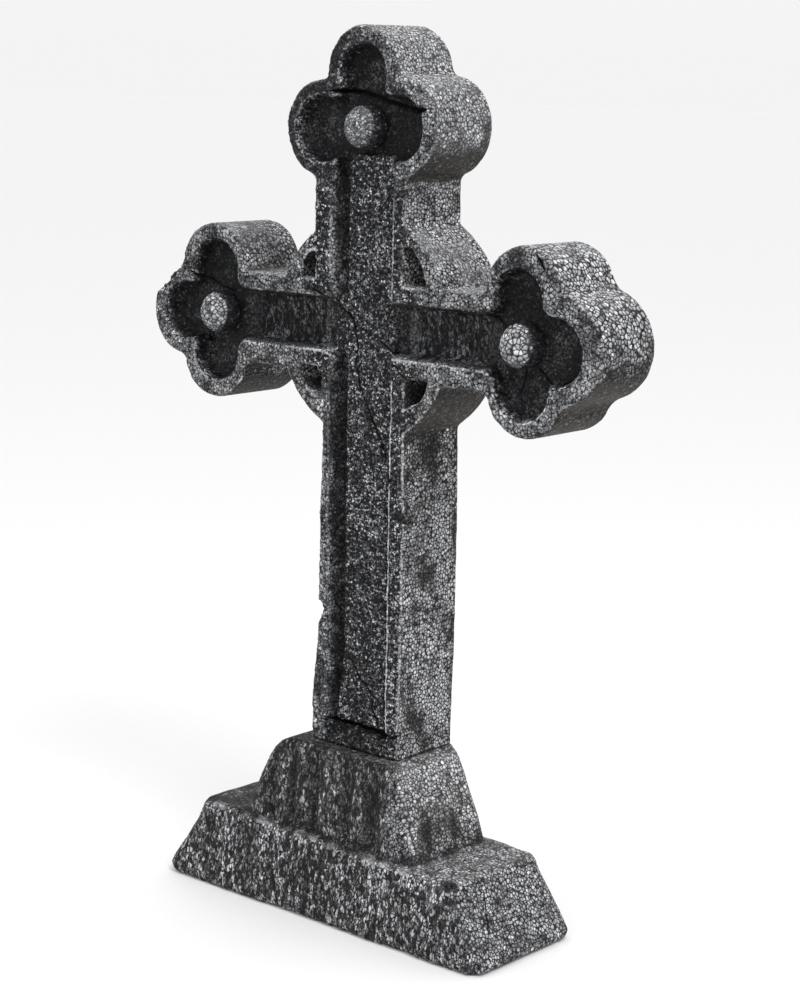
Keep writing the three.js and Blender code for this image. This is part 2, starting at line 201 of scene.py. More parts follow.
# ---------------------------------------------------------------- the cross as a field
def cross_plan(x, z):
    """Fields over the face: its outline, the hollows and arm panels, the shaft panel and the band."""
    wx = x + 0.9 * noise(x / 34, z / 34, 0.5, 1) + 0.5 * noise(x / 9, z / 9, 0.5, 3)
    wz = z + 0.9 * noise(x / 34, z / 34, 7.5, 2) + 0.5 * noise(x / 9, z / 9, 7.5, 4)
    shaft = np.maximum.reduce([along(SHAFT_LEFT, wz) - wx, wx - along(SHAFT_RIGHT, wz), wz - 790, 165 - wz])
    outline = smin(shaft, box2(wx, wz, -ARM_X, ARM_X, ARM_BOTTOM, ARM_TOP), 3)
    trefoils = np.full(np.shape(x), 1e3, np.float32)
    for l in LOBES + [(bx, bz, HUB) for bx, bz in BOSSES]:
        trefoils = smin(trefoils, disc(wx, wz, *l), 11)
    sharp = np.minimum.reduce([outline] + [disc(wx, wz, *l) for l in LOBES])
    outline = smin(outline, trefoils, 9)
    valley = np.clip((sharp - outline) / 2.2, 0, 1)
    ring = np.full(np.shape(x), 1e3, np.float32)
    angle = np.degrees(np.arctan2(wz - CROSS_Z, wx)) % 360
    away = np.hypot(wx, wz - CROSS_Z)
    for a0, a1, outer, inner in RING:
        d = np.maximum(away - outer, inner - away)
        ring = np.where((angle >= a0) & (angle <= a1), d, ring)
    outline = smin(outline, ring, 3)
    for hx, hz, w, h in HOLES:
        u, v = (wx - hx) / w, (wz - hz) / h
        hole = np.maximum.reduce([-u * abs(w), -v * abs(h), (np.hypot(u, v) - 1) * min(abs(w), abs(h))])
        outline = smax(outline, -hole, 2)
    hollows = np.full(np.shape(x), 1e3, np.float32)
    for h in HOLLOWS:
        hollows = smin(hollows, disc(wx, wz, *h), 4)
    for bx, bz in BOSSES:
        hollows = smin(hollows, disc(wx, wz, bx, bz, HOLLOW_HUB), 4)
    hollows = smin(hollows, box2(wx, wz, -ARM_X, ARM_X, *ARM_PANEL), 4)
    panel = np.maximum.reduce([SHAFT_PANEL[0] - wx, wx - SHAFT_PANEL[1], wz - HEAD_Z])
    left = BAND[0] - 8 * (1 - ramp(wz, 205, 285))
    band = np.maximum.reduce([left - wx, wx - BAND[1], wz - BAND_TOP, BAND_FOOT - wz])
    band = np.maximum(band, (BAND[0] + 9 - wx) * 0.7 + (wz - BAND_TOP + 9) * 0.7 - 6)
    block = box2(wx, wz, *CROSSING, ARM_PANEL[0] - 3, ARM_PANEL[1] + 3)
    band = smin(band, block, 3)
    return outline, hollows, panel, band, valley


def floor_relief(x, z):
    """How much deeper than the hollows' plain floor, mm."""
    arms = ramp(np.abs(x), 46, 56) * (1 - ramp(np.abs(x), 148, 162)) * (1 - ramp(np.abs(z - CROSS_Z), 26, 32))
    strokes = noise(x / 3.6, z / 15, 2.2, 11) + 0.6 * noise(x / 2.4, z / 7, 5.2, 12)
    out = arms * 1.3 * strokes + 0.9 * noise(x / 10, z / 10, 1.0, 13) + 0.45 * noise(x / 4, z / 4, 1.0, 16)
    for bx, bz in BOSSES:
        r, a = np.hypot(x - bx, z - bz), np.arctan2(z - bz, x - bx)
        near = ramp(r, 18, 24) * (1 - ramp(r, 55, 78))
        spokes = noise(a * 5.5, r / 22, bx * 0.01 + 3.7, 14) + 0.5 * noise(a * 11, r / 12, bx * 0.01 + 9.7, 15)
        out = out + near * (1.5 * spokes - 1.4 * (1 - ramp(r, 20, 40)))
    return out


def to_cross(x, y, z):
    """From the row's frame to the cross's own upright frame."""
    x, y, z = x - CROSS_SHIFT[0], y - CROSS_SHIFT[1], z - FOOT_Z
    c, s = math.cos(LEAN), math.sin(LEAN)
    return x * c - z * s, y, x * s + z * c + FOOT_Z


def from_cross(x, y, z):
    z = z - FOOT_Z
    c, s = math.cos(LEAN), math.sin(LEAN)
    return x * c + z * s + CROSS_SHIFT[0], y + CROSS_SHIFT[1], -x * s + z * c + FOOT_Z


def cross_field(gx, gy, gz):
    X, Z = np.meshgrid(gx, gz, indexing="ij")
    outline, hollows, panel, band, _ = cross_plan(X, Z)
    relief = floor_relief(X, Z)
    T = (gy - FRONT)[None, :, None]
    lift = lambda f: f[:, None, :]
    # body with worn edges
    lobes = ramp(np.abs(X), 66, 74) + ramp(Z, 742, 750) * (np.abs(X) < 74)  # where the rims are worn rounder
    round_f = lift(4.2 + 1.3 * lobes + 1.5 * noise(X / 16, Z / 16, 0.2, 21) + 0.9 * noise(X / 6, Z / 6, 0.2, 22))
    round_b = 3.5
    yy = gy[None, :, None]
    r = np.where(yy < 0, round_f, round_b).astype(np.float32)
    sides = lift(outline + 0.35 + 0.4 * np.maximum(0, noise(X / 22, Z / 60, 4.4, 23)))
    face = 0.3 + 0.5 * (1 + noise(X / 5, Z / 5, 0.7, 27)) + 0.3 * (1 + noise(X / 2.7, Z / 2.7, 0.7, 28))
    q1, q2 = sides + r, np.abs(yy) - DEPTH / 2 + np.where(yy < 0, lift(face), 0.3).astype(np.float32) + r
    f = np.minimum(np.maximum(q1, q2), 0) + np.sqrt(np.maximum(q1, 0) ** 2 + np.maximum(q2, 0) ** 2) - r
    # hollows and panels
    lean = DRAFT / RECESS
    cut = smax(lift(hollows) + lean * np.clip(T, 0, 40) - 0.3, T - RECESS - lift(relief), 6)
    sill = (T - (lift(Z) - SILL[0]) * RECESS / (SILL[1] - SILL[0])) / 1.245
    cut2 = smax(smax(lift(panel) + 0.8 * lean * np.clip(T, 0, 40), T - RECESS - 0.4 * lift(relief), 5), sill, 3)
    cut = np.minimum(cut, cut2)
    f = smax(f, -cut, lift(2.6 + 2.4 * lobes + 1.2 * noise(X / 12, Z / 12, 0.9, 24)))
    # the band, rough on its face
    rough = lift(1.2 * noise(X / 6, Z / 5, 3.1, 25) + 0.9 * noise(X / 3.2, Z / 2.8, 6.1, 26))
    standing = smax(lift(band) - 0.10 * np.clip(T - BAND_DEPTH, 0, 12), BAND_DEPTH - T + rough * 0.8 + 0.5, 2.6)
    f = smin(f, np.maximum(standing, T - RECESS - 6), 1.6)
    # bosses
    for bx, bz in BOSSES:
        i, k = np.abs(gx - bx) < 34, np.abs(gz - bz) < 34
        j = gy < FRONT + 40
        x, y, z = gx[i][:, None, None], gy[j][None, :, None], gz[k][None, None, :]
        ball = np.sqrt((x - bx) ** 2 + (y - BOSS_Y) ** 2 + (z - bz) ** 2) - BOSS_R
        sub = np.ix_(i, j, k)
        f[sub] = smin(f[sub], ball, 2.5)
    # cracks
    for n, (pts, width, depth) in enumerate(CRACKS):
        px, pz = [p[0] for p in pts], [p[1] for p in pts]
        i = (gx > min(px) - 9) & (gx < max(px) + 9)
        k = (gz > min(pz) - 9) & (gz < max(pz) + 9)
        j = gy < FRONT + 34
        d = np.abs(signed_line(X[np.ix_(i, k)], Z[np.ix_(i, k)], pts))
        groove = depth * np.exp(-((d / (width + 0.7)) ** 2))
        sub = np.ix_(i, j, k)
        f[sub] = f[sub] + groove[:, None, :] * 0.9 * (1 - ramp(gy[j] - FRONT, 7, 10) * (n >= FOOT_CRACKS))[None, :, None]
    # bites
    for n, b in enumerate(BITES):
        i, j, k = (np.abs(g - c) < 1.3 * max(b[3], b[5]) + 5 for g, c in ((gx, b[0]), (gy, b[1]), (gz, b[2])))
        j = np.abs(gy - b[1]) < 1.3 * b[4] + 5
        sub = np.ix_(i, j, k)
        x, y, z = gx[i][:, None, None], gy[j][None, :, None], gz[k][None, None, :]
        f[sub] = smax(f[sub], -bite_field(x, y, z, b, n), 1.2)
    # foot, level on the base
    c, s = math.cos(LEAN), math.sin(LEAN)
    level = -X * s + (Z - FOOT_Z) * c
    f = np.maximum(f, lift(-level))
    return f.astype(np.float32)


# ---------------------------------------------------------------- the base as a field
def base_sides(x, y, z, table):
    zs = [r[0] for r in table]
    left, right, fore, aft, corner = (np.interp(z, zs, [r[i] for r in table]) for i in range(1, 6))
    slope = (np.interp(z + 2, zs, [r[2] for r in table]) - np.interp(z - 2, zs, [r[2] for r in table])) / 4
    qx, qy = np.maximum(x - right, -x - left) + corner, np.maximum(y - aft, -y - fore) + corner
    d = np.hypot(np.maximum(qx, 0), np.maximum(qy, 0)) + np.minimum(np.maximum(qx, qy), 0) - corner
    return d / np.sqrt(1 + np.clip(np.abs(slope), 0, 3) ** 2 * 0.8)


def base_field(gx, gy, gz):
    x, y, z = gx[:, None, None], gy[None, :, None], gz[None, None, :]
    facing = ramp(-y, 30, 62)
    # lower step: worn, streaked front, softly rounded top
    streak = noise(gx[:, None] / 5.5, 0.0, gz[None, :] / 22, 31) + 0.6 * noise(gx[:, None] / 3.2, 4.0, gz[None, :] / 9, 32)
    rough = (0.55 + 0.55 * streak + 1.1 * noise(gx[:, None] / 38, 2.0, gz[None, :] / 46, 39))[:, None, :] * facing
    low = base_sides(x, y, z, LOWER) + 0.45 + 1.1 * rough + 0.4 * noise(gx[:, None] / 30, gy[None, :] / 30, 0.0, 33)[:, :, None]
    dip = (2.0 * noise(gx[:, None] / 26, gy[None, :] / 40, 2.0, 34) + 0.9 * noise(gx[:, None] / 9, gy[None, :] / 9, 2.0, 35))[:, :, None]
    edge = 4.5 * ramp(-y, 55, 76) * (0.6 + 0.7 * noise(gx / 19, 0.0, 5.0, 36)[:, None, None])
    top = z - (LOWER_TOP - TOP_FALL * x - 1.2 + 0.5 * dip - edge)
    low = smax(low, top, 7)
    low = np.maximum(low, -z)
    # upper step: fluted front, scooped ends
    up = base_sides(x, y, z, UPPER) + 0.45
    band = ramp(z, 82, 97) * (1 - ramp(z, 148, 172))
    flute = sum(d * np.exp(-(((x + 1.5 * noise(0.3, 0.0, gz / 18, 37)[None, None, :] - c) / w) ** 2)) for c, w, d in FLUTES)
    foot = 1 + 0.55 * (1 - ramp(z, 96, 118))
    up = up + flute * band * foot * facing
    scoop = sum(d * np.exp(-(((y - cy) / ry) ** 2) - ((z - cz) / rz) ** 2) for cy, cz, ry, rz, d in SCOOPS)
    up = up + scoop * ramp(np.abs(x), 70, 95)
    fine = (0.45 * noise(gx[:, None] / 4.2, 0.0, gz[None, :] / 12, 38) + 0.4)[:, None, :] * facing
    up = up + 0.8 * fine * (1 - ramp(z, 166, 176))
    up = smax(up, z - UPPER_TOP, 0.8)
    f = np.maximum(smin(low, up, 5), -z)
    for n, b in enumerate(BASE_BITES):
        reach = 1.3 * max(b[3], b[5]) + 5
        i, j, k = np.abs(gx - b[0]) < reach, np.abs(gy - b[1]) < 1.3 * b[4] + 5, np.abs(gz - b[2]) < reach
        sub = np.ix_(i, j, k)
        f[sub] = smax(f[sub], -bite_field(x[i], y[:, j], z[:, :, k], b, 20 + n), 1.6)
    return f.astype(np.float32)


# ---------------------------------------------------------------- fields to meshes
def polygonise(field, origin):
    field = np.clip(field, -3 * STEP, 3 * STEP)
    grid = openvdb.FloatGrid(3 * STEP)
    grid.copyFromArray(field)
    points, quads = grid.convertToQuads(isovalue=0.0)
    return points * STEP + np.array(origin), quads


def make_object(name, points, quads):
    me = bpy.data.meshes.new(name)
    me.vertices.add(len(points))
    me.vertices.foreach_set("co", (points * MM).astype(np.float32).ravel())
    me.loops.add(quads.size)
    me.loops.foreach_set("vertex_index", quads.astype(np.int32).ravel())
    me.polygons.add(len(quads))
    me.polygons.foreach_set("loop_start", np.arange(0, quads.size, 4, dtype=np.int32))
    me.update(calc_edges=True)
    me.validate()
    p = points[quads]
    a, b, c = p[:, 0], p[:, 1], p[:, 2]
    d = p[:, 3]
    volume = (np.einsum("ij,ij->i", a, np.cross(b, c)) + np.einsum("ij,ij->i", a, np.cross(c, d))).sum()
    if volume < 0:
        me.flip_normals()
    ob = bpy.data.objects.new(name, me)
    bpy.context.scene.collection.objects.link(ob)
    return ob


def coords(me):
    co = np.empty(len(me.vertices) * 3, np.float32)
    me.vertices.foreach_get("co", co)
    return co.reshape(-1, 3).astype(np.float64) / MM


def put(me, name, values):
    at = me.attributes.get(name) or me.attributes.new(name, "FLOAT", "POINT")
    at.data.foreach_set("value", np.ascontiguousarray(values, np.float32))


def normals(me):
    n = np.empty(len(me.vertices) * 3, np.float32)
    me.vertex_normals.foreach_get("vector", n)
    return n.reshape(-1, 3)


class Graph:
    """Short hand for building node trees."""

    def __init__(self, tree):
        self.tree, self.nodes, self.links = tree, tree.nodes, tree.links

    def node(self, kind, inputs=None, **props):
        n = self.nodes.new(kind)
        for k, v in props.items():
            setattr(n, k, v)
        for k, v in (inputs or {}).items():
            sock = n.inputs[k]
            if hasattr(v, "is_linked") or isinstance(v, bpy.types.NodeSocket):
                self.links.new(v, sock)
            else:
                sock.default_value = v
        return n

    def math(self, op, a, b=None, c=None, clamp=False):
        ins = {0: a}
        if b is not None:
            ins[1] = b
        if c is not None:
            ins[2] = c
        return self.node("ShaderNodeMath", ins, operation=op, use_clamp=clamp).outputs[0]

    def ramp(self, v, a, b, lo=0.0, hi=1.0):
        return self.node("ShaderNodeMapRange", {"Value": v, "From Min": a, "From Max": b, "To Min": lo, "To Max": hi},
                         interpolation_type="SMOOTHSTEP").outputs[0]

    def line(self, v, a, b, lo=0.0, hi=1.0):
        return self.node("ShaderNodeMapRange", {"Value": v, "From Min": a, "From Max": b, "To Min": lo, "To Max": hi}).outputs[0]

    def mix(self, t, a, b):
        n = self.nodes.new("ShaderNodeMix")
        n.data_type = "FLOAT"
        for i, v in ((0, t), (2, a), (3, b)):
            if isinstance(v, bpy.types.NodeSocket):
                self.links.new(v, n.inputs[i])
            else:
                n.inputs[i].default_value = v
        return n.outputs[0]

    def mixc(self, t, a, b, mode="MIX"):
        n = self.nodes.new("ShaderNodeMix")
        n.data_type, n.blend_type = "RGBA", mode
        for i, v in ((0, t), (6, a), (7, b)):
            if isinstance(v, bpy.types.NodeSocket):
                self.links.new(v, n.inputs[i])
            else:
                n.inputs[i].default_value = v if i == 0 else (*v, 1.0)
        return n.outputs[2]


BEAD, BIG_BEAD, GRAIN = 3.9, 4.7, 2.9  # mm


def bead_nodes(g, vector, big):
    """Edge distance (0 on the line between beads), two random values of each bead and the distance from its middle."""
    out = []
    for size in (BEAD, BIG_BEAD):
        e = g.node("ShaderNodeTexVoronoi", {"Vector": vector, "Scale": 1 / (size * MM), "Randomness": 0.92}, feature="DISTANCE_TO_EDGE")
        f = g.node("ShaderNodeTexVoronoi", {"Vector": vector, "Scale": 1 / (size * MM), "Randomness": 0.92}, feature="F1")
        out.append((e.outputs["Distance"], f.outputs["Color"], f.outputs["Distance"]))
    edge = g.mix(big, out[0][0], out[1][0])
    away = g.mix(big, out[0][2], out[1][2])
    pick = g.math("GREATER_THAN", big, 0.5)
    sep = [g.node("ShaderNodeSeparateXYZ", {"Vector": o[1]}) for o in out]
    rnd = g.mix(pick, sep[0].outputs[0], sep[1].outputs[0])
    rnd2 = g.mix(pick, sep[0].outputs[1], sep[1].outputs[1])
    return edge, rnd, rnd2, away


def bead_relief(ob):
    """Presses the beads into the surface: lines between them, and a few beads lost on worn edges."""
    ng = bpy.data.node_groups.new("bead_relief", "GeometryNodeTree")
    ng.interface.new_socket("Geometry", in_out="INPUT", socket_type="NodeSocketGeometry")
    ng.interface.new_socket("Geometry", in_out="OUTPUT", socket_type="NodeSocketGeometry")
    g = Graph(ng)
    gin, gout = ng.nodes.new("NodeGroupInput"), ng.nodes.new("NodeGroupOutput")
    named = lambda n: g.node("GeometryNodeInputNamedAttribute", {"Name": n}, data_type="FLOAT").outputs["Attribute"]
    pos = g.node("GeometryNodeInputPosition").outputs[0]
    edge, rnd, rnd2, _ = bead_nodes(g, pos, named("big"))
    valley = g.ramp(edge, 0.0, 0.24, 1.0, 0.0)
    depth = g.math("MULTIPLY", valley, named("amp"))
    uneven = g.math("MULTIPLY", g.math("MULTIPLY", rnd2, 0.5), named("amp"))
    crater = g.math("MULTIPLY", g.math("LESS_THAN", rnd, 0.47), named("pit"))
    crater = g.math("MULTIPLY", crater, g.ramp(edge, 0.02, 0.2))
    total = g.math("ADD", g.math("ADD", depth, uneven), crater)
    total = g.math("MULTIPLY", total, -MM)
    normal = g.node("GeometryNodeInputNormal").outputs[0]
    off = g.node("ShaderNodeVectorMath", {0: normal, 3: total}, operation="SCALE").outputs[0]
    sp = g.node("GeometryNodeSetPosition", {"Geometry": gin.outputs[0], "Offset": off})
    ng.links.new(sp.outputs[0], gout.inputs[0])
    mod = ob.modifiers.new("bead_relief", "NODES")
    mod.node_group = ng
    apply_all(ob)


def apply_all(ob):
    dg = bpy.context.evaluated_depsgraph_get()
    done = bpy.data.meshes.new_from_object(ob.evaluated_get(dg), depsgraph=dg)
    ob.modifiers.clear()
    old = ob.data
    ob.data = done
    bpy.data.meshes.remove(old)


def lighten(ob):
    """Fewer triangles, kept where the relief is."""
    tris = sum(len(p.vertices) - 2 for p in ob.data.polygons) if len(ob.data.polygons) < 1000 else int(len(ob.data.loops) - 2 * len(ob.data.polygons))
    if tris > MOST_TRIS:
        mod = ob.modifiers.new("lighten", "DECIMATE")
        mod.ratio = MOST_TRIS / tris
        mod.use_collapse_triangulate = True
        apply_all(ob)
    ob.data.validate(clean_customdata=False)


def shade(ob, material):
    me = ob.data
    me.polygons.foreach_set("use_smooth", np.ones(len(me.polygons), bool))
    me.materials.clear()
    me.materials.append(material)
    me.update()


# ---------------------------------------------------------------- where the paint, beads and wear are
def cross_masks(P, N):
    x, y, z = to_cross(P[:, 0], P[:, 1], P[:, 2])
    x, y, z = (v.astype(np.float32) for v in (x, y, z))
    outline, hollows, panel, band, valley = cross_plan(x, z)
    t = y - FRONT
    inner = np.minimum(hollows, panel)
    front = (1 - ramp(t, 1.0, 5.0)) * ramp(inner, -1.5, 1.0)  # frame strips' face
    inside = ramp(-inner, -2.5, 0.5) * (1 - ramp(t, 30, 34)) * ramp(-outline, 3.0, 7.0)
    deep = inside * ramp(t, 4, 12)
    on_band = ramp(-band, -1.0, 1.0) * inside * ramp(t, 8, 10.5) * (1 - ramp(t, 15.5, 18))
    boss = np.zeros_like(x)
    lit = np.zeros_like(x)
    for bx, bz in BOSSES:
        d = np.sqrt((x - bx) ** 2 + (y - BOSS_Y) ** 2 + (z - bz) ** 2)
        b = (1 - ramp(d, BOSS_R + 0.8, BOSS_R + 2.2)) * ramp(-(t - 16), 0, 3)
        boss = np.maximum(boss, b)
        # paint was brushed on from the front, left and above
        nx, ny, nz = (x - bx) / BOSS_R, (y - BOSS_Y) / BOSS_R, (z - bz) / BOSS_R
        lit = np.maximum(lit, b * ramp(-ny - nx * 0.18 + nz * 0.08, 0.22, 0.46))
    outer = 1 - ramp(np.abs(outline), 4.0, 9.0)
    side = ramp(outline, -5.5, -2.0) * ramp(t, 2.0, 6.0)
    rim_in = np.exp(-((np.hypot(np.minimum(inner, 2) * 1.0, np.maximum(t, 0)) / 2.6) ** 2)) * (inner > -4)
    rim_out = np.exp(-((np.hypot(outline, t) / 4.2) ** 2))
    crack = np.full(len(x), 30, np.float32)
    for i, (pts, width, depth) in enumerate(CRACKS):
        d = signed_line(x, z, pts) / width
        near = np.abs(d) < np.abs(crack)
        crack = np.where(near & (t < (32 if i < FOOT_CRACKS else 7)), d, crack)
    hurt = np.zeros_like(x)
    for n, b in enumerate(BITES):
        hurt = np.maximum(hurt, 1 - ramp(bite_field(x, y, z, b, n), 0.4, 2.2))
    return dict(x=x, y=y, z=z, t=t, outline=outline, inner=inner, front=front, inside=inside, deep=deep, on_band=on_band, boss=boss,
                lit=lit, outer=outer, side=side, rim_in=rim_in, rim_out=rim_out, crack=crack, hurt=hurt, valley=valley, n=N)


def cross_relief_masks(m):
    amp = 0.30 * np.ones_like(m["x"])
    amp = np.where(m["t"] > 84, 0.16, amp)
    amp = amp + 0.25 * m["front"] + 0.35 * np.maximum(m["rim_in"], m["rim_out"]) + 0.55 * m["boss"]
    amp = amp * (1 - 0.8 * m["deep"] * (1 - m["on_band"]) * (1 - m["boss"]))
    under = ramp(-m["n"][:, 2], 0.25, 0.6)
    amp = amp * (1 - 0.6 * under)
    pit = 0.85 * m["front"] + 0.75 * m["on_band"] + 0.5 * m["rim_in"] + 0.12 * m["deep"]
    pit = np.clip(pit, 0, 0.95) * (1 - m["boss"]) * (m["t"] < 40)
    lobe = ramp(m["x"], 150, 158) * (m["t"] > 3) * (1 - m["inside"])
    strip = m["front"] * (m["x"] < -44) * (m["x"] > -80) * (m["z"] < 545)
    return amp, pit, np.clip(np.maximum.reduce([m["boss"] * (m["z"] < 760), lobe, strip]), 0, 1)


def base_masks(P, N):
    x, y, z = (P[:, i] - BASE_SHIFT[i] for i in range(3))
    return x.astype(np.float32), y.astype(np.float32), z.astype(np.float32), N


# ---------------------------------------------------------------- material
def foam_material(name):
    """Charcoal paint over bead foam, dry-brushed with pale grey. The attributes say where each shows: dry, how much
    pale paint, with painted light and shade laid into it; cells, whole beads (1) or torn ones (0); film, a thin even
    coat, on top-facing surfaces partly painted light; soft, dim paint, partly painted shade; brown and dark, a brownish
    and a near-black tone, mostly painted shade; streak, drawn-out marks; inner, outer, depth, the distances in mm from
    which worn edges are drawn, by in_wear and out_wear."""
    mat = bpy.data.materials.new(name)
    mat.use_nodes = True
    nt = mat.node_tree
    nt.nodes.clear()
    g = Graph(nt)
    attr = lambda n: g.node("ShaderNodeAttribute", attribute_name=n, attribute_type="GEOMETRY").outputs["Fac"]
    pos = g.node("ShaderNodeTexCoord").outputs["Object"]
    drybrush_and_painted_light, cells, brown, crack, dark, big, streak, dimming_and_painted_shade, film_and_painted_light = (
        attr(n) for n in ("drybrush_and_painted_light", "cells", "brown", "crack", "dark", "big", "streak", "dimming_and_painted_shade", "film_and_painted_light"))
    vec = lambda op, a, b: g.node("ShaderNodeVectorMath", {0: a, 1: b}, operation=op).outputs[0]
    wobble = g.node("ShaderNodeTexNoise", {"Vector": pos, "Scale": 1 / (2.8 * MM), "Detail": 1.0}).outputs["Color"]
    bent = vec("ADD", pos, vec("MULTIPLY", vec("SUBTRACT", wobble, (0.5, 0.5, 0.5)), (0.0016, 0.0016, 0.0016)))
    edge, rnd, rnd2, away = bead_nodes(g, bent, big)
    stretch = lambda v, k: g.node("ShaderNodeMapping", {"Vector": v, "Scale": (1.0, 1.0, k)}).outputs[0]
    tex = lambda v, size, detail, rough=0.5: g.node(
        "ShaderNodeTexNoise", {"Vector": v, "Scale": 1 / (size * MM), "Detail": detail, "Roughness": rough}).outputs["Fac"]
    fine = tex(stretch(pos, 0.65), 2.2, 2.0, 0.6)
    mid = tex(pos, 10.0, 3.0, 0.55)
    wide = tex(pos, 27.0, 2.0)
    runs = tex(stretch(pos, 0.22), 6.0, 2.0)
    # where the brush left paint, with painted light and shade from the dry attribute
    even = g.math("ADD", g.math("MULTIPLY", mid, 0.50), g.math("MULTIPLY", wide, 0.50))
    streaky = g.math("ADD", g.math("MULTIPLY", runs, 0.55), g.math("MULTIPLY", mid, 0.45))
    cover = g.math("ADD", g.mix(streak, even, streaky), g.math("SUBTRACT", drybrush_and_painted_light, 0.5))
    cover = g.ramp(cover, 0.36, 0.64)
    blob = g.math("MULTIPLY", g.ramp(edge, 0.03, 0.17), g.ramp(away, 0.78, 0.44, 0.14, 1.0))
    whole = g.math("MULTIPLY", blob, g.line(rnd, 0.0, 1.0, 0.42, 1.08))
    whole = g.math("MULTIPLY", whole, g.line(cover, 0.0, 1.0, 0.10, 1.0))
    whole = g.math("MULTIPLY", whole, g.ramp(fine, 0.30, 0.50, 0.60, 1.0))
    # torn beads: small ragged grains, drawn out where the paint ran
    size = 1 / (GRAIN * MM)
    squash = g.node("ShaderNodeCombineXYZ", {"X": 1.0, "Y": 1.0, "Z": g.mix(streak, 1.25, 0.42)}).outputs[0]
    chips = vec("MULTIPLY", bent, squash)
    grain_edge = g.node("ShaderNodeTexVoronoi", {"Vector": chips, "Scale": size}, feature="DISTANCE_TO_EDGE").outputs["Distance"]
    grain_rnd = g.node("ShaderNodeSeparateXYZ", {"Vector": g.node("ShaderNodeTexVoronoi", {"Vector": chips, "Scale": size}, feature="F1").outputs["Color"]}).outputs[0]
    ragged = g.math("ADD", tex(stretch(bent, 1.3), 4.6, 3.0, 0.62), g.math("MULTIPLY", cover, 0.14))
    clumps = g.mix(streak, g.ramp(ragged, 0.54, 0.64), cover)
    grains = g.math("MULTIPLY", g.ramp(grain_edge, 0.02, 0.17), g.ramp(grain_rnd, 0.25, 0.65))
    grains = g.math("MULTIPLY", grains, g.ramp(fine, 0.36, 0.52))
    dust = g.math("MULTIPLY", g.ramp(fine, 0.46, 0.66), 0.15)
    torn = g.math("MULTIPLY", g.math("MAXIMUM", grains, dust), g.line(clumps, 0.0, 1.0, 0.16, 1.0))
    paint = g.mix(cells, torn, whole)
    thin = g.math("MULTIPLY", g.math("MULTIPLY", film_and_painted_light, g.line(mid, 0.3, 0.7, 0.35, 1.3)), g.line(g.math("MULTIPLY", blob, g.ramp(fine, 0.3, 0.55)), 0.0, 1.0, 0.45, 1.25))
    paint = g.math("MAXIMUM", paint, thin)
    # pale worn edges
    depth = attr("depth")
    jag = g.line(fine, 0.25, 0.75, 2.2, -2.2)
    reach = lambda d, w: g.math("ADD", g.math("SQRT", g.math("ADD", g.math("MULTIPLY", d, d), g.math("MULTIPLY", depth, depth))),
                                g.math("MULTIPLY", jag, g.math("SUBTRACT", 1.15, w)))
    in_wear, out_wear = attr("in_wear"), attr("out_wear")
    lines = g.math("MAXIMUM", g.math("MULTIPLY", g.ramp(reach(attr("inner"), in_wear), 2.9, 1.7), in_wear),
                   g.math("MULTIPLY", g.ramp(reach(attr("outer"), out_wear), 3.7, 2.3), out_wear))
    lines = g.math("MULTIPLY", lines, g.line(blob, 0.0, 1.0, 0.55, 1.0))
    paint = g.math("MAXIMUM", paint, lines)
    # pale paint dimmed by soft: less paint in the hollows, and painted shade in hollows, undersides, scoops and pits
    paint = g.math("MULTIPLY", paint, g.line(dimming_and_painted_shade, 0.0, 1.0, 1.0, 0.22))
    gap = g.ramp(g.math("ABSOLUTE", crack), 0.55, 1.25)
    paint = g.math("MULTIPLY", paint, gap)
    # colours; brown and dark turn the charcoal brownish and near-black, mostly as painted shade
    base = g.mixc(mid, (0.0035, 0.0038, 0.0045), (0.0115, 0.0120, 0.0131))
    base = g.mixc(brown, base, (0.0235, 0.0200, 0.0160))
    base = g.mixc(g.math("MULTIPLY", dark, 0.85), base, (0.0022, 0.0024, 0.0030))
    pale = g.mixc(rnd2, (0.48, 0.487, 0.505), (0.83, 0.835, 0.86))
    colour = g.mixc(paint, base, pale)
    seams = g.math("MULTIPLY", g.ramp(edge, 0.09, 0.0), g.mix(cells, 0.15, 0.7))
    seams = g.math("MULTIPLY", seams, g.math("SUBTRACT", 1.0, g.math("MULTIPLY", dimming_and_painted_shade, 0.6)))
    colour = g.mixc(seams, colour, (0.0060, 0.0063, 0.0070))
    colour = g.mixc(gap, (0.002, 0.002, 0.003), colour)
    # bump: bead domes, torn craters and the paint's own grain
    dome = g.ramp(edge, 0.0, 0.30)
    relief = g.mix(cells, g.math("MULTIPLY", g.ramp(grain_edge, 0.0, 0.25), grain_rnd), dome)
    relief = g.math("MULTIPLY", relief, g.line(dimming_and_painted_shade, 0.0, 1.0, 1.0, 0.40))
    height = g.math("ADD", g.math("MULTIPLY", relief, 0.7), g.math("MULTIPLY", g.math("ADD", tex(pos, 1.2, 2.0), fine), 0.30))
    bump = g.node("ShaderNodeBump", {"Height": height, "Strength": 1.0, "Distance": 0.0011})
    rough = g.mix(paint, 0.55, 0.62)
    bsdf = g.node("ShaderNodeBsdfPrincipled", {"Base Color": colour, "Roughness": rough, "Normal": bump.outputs[0]})
    bsdf.inputs["Specular IOR Level"].default_value = 0.07
    out = nt.nodes.new("ShaderNodeOutputMaterial")
    nt.links.new(bsdf.outputs[0], out.inputs[0])
    return mat


